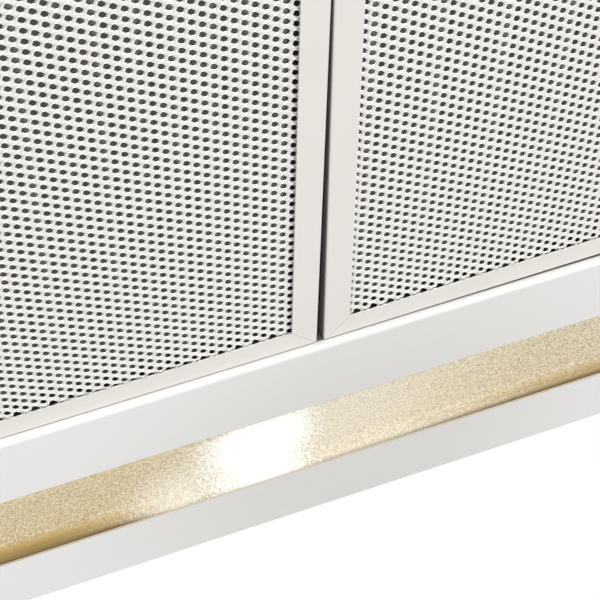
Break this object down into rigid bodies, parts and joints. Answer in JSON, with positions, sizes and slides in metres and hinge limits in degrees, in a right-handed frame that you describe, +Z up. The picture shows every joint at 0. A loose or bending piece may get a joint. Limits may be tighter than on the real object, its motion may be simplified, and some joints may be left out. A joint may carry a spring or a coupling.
{
  "type": "under cabinet range hood",
  "caption": "White bent-steel canopy hood with hinged mesh grease filters, a lit lens panel, a centrifugal blower in a scroll, rocker switches and a damped duct collar.",
  "frame": {"origin": "middle of the canopy's width and depth, on its flat top face, which bears on the cabinet", "axes": "+X right for a cook facing the hood, +Y towards the wall, +Z up"},
  "size_m": [0.759, 0.5062, 0.2189],
  "materials": {
    "white_paint": "semi-gloss white powder coat",
    "aluminium": "satin",
    "galvanised": "dull zinc",
    "dark_steel": "dull dark grey",
    "lens_plastic": "fine hammered grain, warm white",
    "glass": "frosted inside",
    "brass": "plain",
    "ceramic": "glazed",
    "black_plastic": "fine matt",
    "grey_plastic": "fine matt",
    "lead_sheath": "dull"
  },
  "bodies": {
    "hood": {"canopy": "white_paint", "side_panel_left": "white_paint", "side_panel_right": "white_paint", "rear_panel": "white_paint", "rear_duct_cover": "galvanised", "cross_rail": "white_paint", "duct_collar": "galvanised", "collar_screw_1": "dark_steel", "collar_screw_2": "dark_steel", "collar_screw_3": "dark_steel", "collar_screw_4": "dark_steel", "scroll_wrap": "galvanised", "scroll_side_left": "galvanised", "inlet_ring_left": "grey_plastic", "scroll_side_right": "galvanised", "inlet_ring_right": "grey_plastic", "motor_housing": "dark_steel", "motor_bracket": "galvanised", "capacitor": "black_plastic", "capacitor_strap": "galvanised", "lamp_tray": "aluminium", "socket_bracket": "galvanised", "lamp_socket": "ceramic", "control_plate": "grey_plastic", "fan_switch_body": "black_plastic", "light_switch_body": "black_plastic", "wiring_box": "galvanised", "wiring_box_cover": "galvanised", "cover_screw": "dark_steel", "cable_clamp": "dark_steel", "motor_lead": "lead_sheath", "lamp_lead": "lead_sheath", "switch_lead": "lead_sheath", "right_filter_catch": "galvanised", "left_filter_catch": "galvanised"},
    "damper": {"damper_flap": "aluminium"},
    "rotor": {"blower_wheel": "aluminium", "motor_shaft": "galvanised"},
    "bulb": {"bulb_cap": "brass", "bulb_glass": "glass"},
    "lens": {"lamp_lens": "lens_plastic"},
    "fan_key": {"fan_rocker": "black_plastic"},
    "light_key": {"light_rocker": "black_plastic"},
    "right_filter": {"right_filter_frame": "aluminium", "right_filter_mesh_lower": "aluminium", "right_filter_mesh_upper": "aluminium", "right_filter_core": "aluminium", "right_filter_strike": "galvanised", "right_ring_saddle": "aluminium"},
    "right_ring": {"right_pull_ring": "galvanised"},
    "left_filter": {"left_filter_frame": "aluminium", "left_filter_mesh_lower": "aluminium", "left_filter_mesh_upper": "aluminium", "left_filter_core": "aluminium", "left_filter_strike": "galvanised", "left_ring_saddle": "aluminium"},
    "left_ring": {"left_pull_ring": "galvanised"}
  },
  "joints": [
    {"name": "right_filter_swing", "type": "hinge", "parent": "hood", "child": "right_filter", "pos_m": [0.179, 0.1873, -0.1485], "axis": [1, 0, 0], "range_deg": [0, 70]},
    {"name": "left_filter_swing", "type": "hinge", "parent": "hood", "child": "left_filter", "pos_m": [-0.179, 0.1873, -0.1485], "axis": [1, 0, 0], "range_deg": [0, 70]},
    {"name": "right_ring_swing", "type": "hinge", "parent": "right_filter", "child": "right_ring", "pos_m": [0.239, -0.1023, -0.1506], "axis": [1, 0, 0], "range_deg": [-50, 75]},
    {"name": "left_ring_swing", "type": "hinge", "parent": "left_filter", "child": "left_ring", "pos_m": [-0.2404, -0.0998, -0.1506], "axis": [1, 0, 0], "range_deg": [-50, 75]},
    {"name": "lens_swing", "type": "hinge", "parent": "hood", "child": "lens", "pos_m": [0, -0.2077, -0.1507], "axis": [-1, 0, 0], "range_deg": [0, 70]},
    {"name": "bulb_draw", "type": "slide", "parent": "hood", "child": "bulb", "axis": [1, 0, 0], "range_m": [0, 0.03]},
    {"name": "fan_rocker_tilt", "type": "hinge", "parent": "hood", "child": "fan_key", "pos_m": [0.246, -0.2505, -0.123], "axis": [0, 0, 1], "range_deg": [-8, 8]},
    {"name": "light_rocker_tilt", "type": "hinge", "parent": "hood", "child": "light_key", "pos_m": [0.298, -0.2505, -0.123], "axis": [0, 0, 1], "range_deg": [-16, 0]},
    {"name": "damper_swing", "type": "hinge", "parent": "hood", "child": "damper", "pos_m": [0, 0.176, 0.009], "axis": [-1, 0, 0], "range_deg": [0, 70]},
    {"name": "blower_spin", "type": "hinge", "parent": "hood", "child": "rotor", "pos_m": [0, 0.12, -0.076], "axis": [1, 0, 0], "continuous": true}
  ]
}
